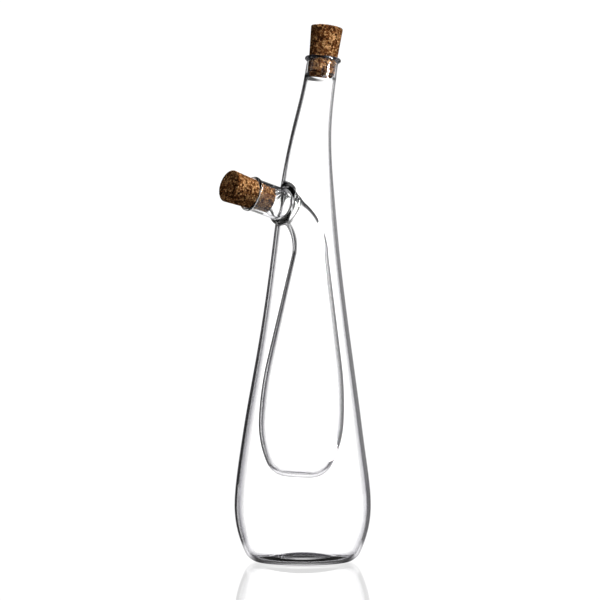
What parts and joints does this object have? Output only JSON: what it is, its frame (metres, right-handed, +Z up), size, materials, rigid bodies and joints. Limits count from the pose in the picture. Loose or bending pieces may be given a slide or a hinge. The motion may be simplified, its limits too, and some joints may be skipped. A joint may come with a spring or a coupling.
{
  "type": "oil and vinegar cruet",
  "caption": "Tall clear glass cruet with a second bottle inside it, whose bent tube leaves the side as a spout, and a tapered cork in each mouth.",
  "frame": {"origin": "middle of the foot, in the plane it stands on", "axes": "+Z up; the spout points to -X and the neck leans to +X; Y = 0 is the mirror plane"},
  "size_m": [0.0914, 0.0768, 0.3016],
  "materials": {
    "clear_glass": "polished",
    "cork": "matte"
  },
  "bodies": {
    "glass": {"outer_bottle": "clear_glass", "inner_bottle": "clear_glass", "side_spout": "clear_glass"},
    "top_cork": {"top_cork": "cork"},
    "side_cork": {"side_cork": "cork"}
  },
  "joints": [
    {"name": "top_cork_pull", "type": "slide", "parent": "glass", "child": "top_cork", "axis": [0.1564, 0, 0.9877], "range_m": [0, 0.03]},
    {"name": "side_cork_pull", "type": "slide", "parent": "glass", "child": "side_cork", "axis": [-0.9659, 0, 0.2588], "range_m": [0, 0.03]}
  ]
}
